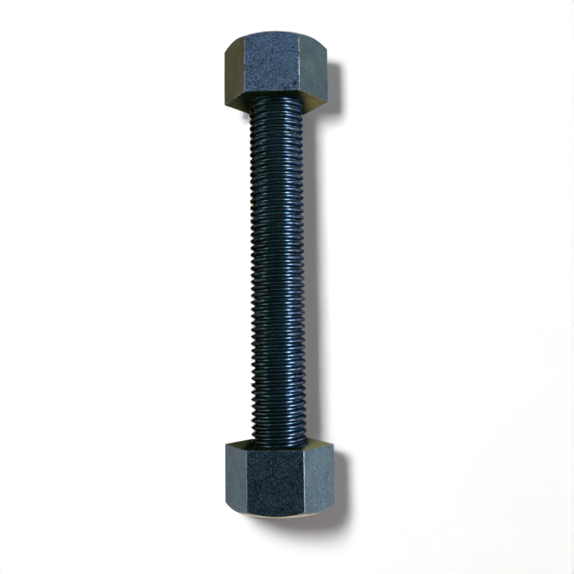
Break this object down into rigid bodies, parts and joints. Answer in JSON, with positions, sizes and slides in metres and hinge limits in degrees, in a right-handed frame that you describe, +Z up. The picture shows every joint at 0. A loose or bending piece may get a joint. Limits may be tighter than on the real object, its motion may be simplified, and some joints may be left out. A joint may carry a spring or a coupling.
{
  "type": "double ended stud",
  "caption": "Fully threaded steel stud with a heavy hexagon nut run on at each end, in black oxide finish.",
  "frame": {"origin": "middle of the stud's axis, which is the middle of the part's box", "axes": "+Y along the stud towards the upper nut, +Z up from the nut flats that it lies on, +X to the right"},
  "size_m": [0.0474, 0.207, 0.041],
  "materials": {
    "stud_steel": "black oxide, oiled",
    "nut_steel": "black oxide, oiled, slightly mottled"
  },
  "bodies": {
    "stud": {"stud": "stud_steel"},
    "upper_nut": {"upper_nut": "nut_steel"},
    "lower_nut": {"lower_nut": "nut_steel"}
  },
  "joints": [
    {"name": "upper_nut_travel", "type": "slide", "parent": "stud", "child": "upper_nut", "axis": [0, 1, 0], "range_m": [-0.075, 0.03]},
    {"name": "lower_nut_travel", "type": "slide", "parent": "stud", "child": "lower_nut", "axis": [0, -1, 0], "range_m": [-0.075, 0.03]}
  ]
}
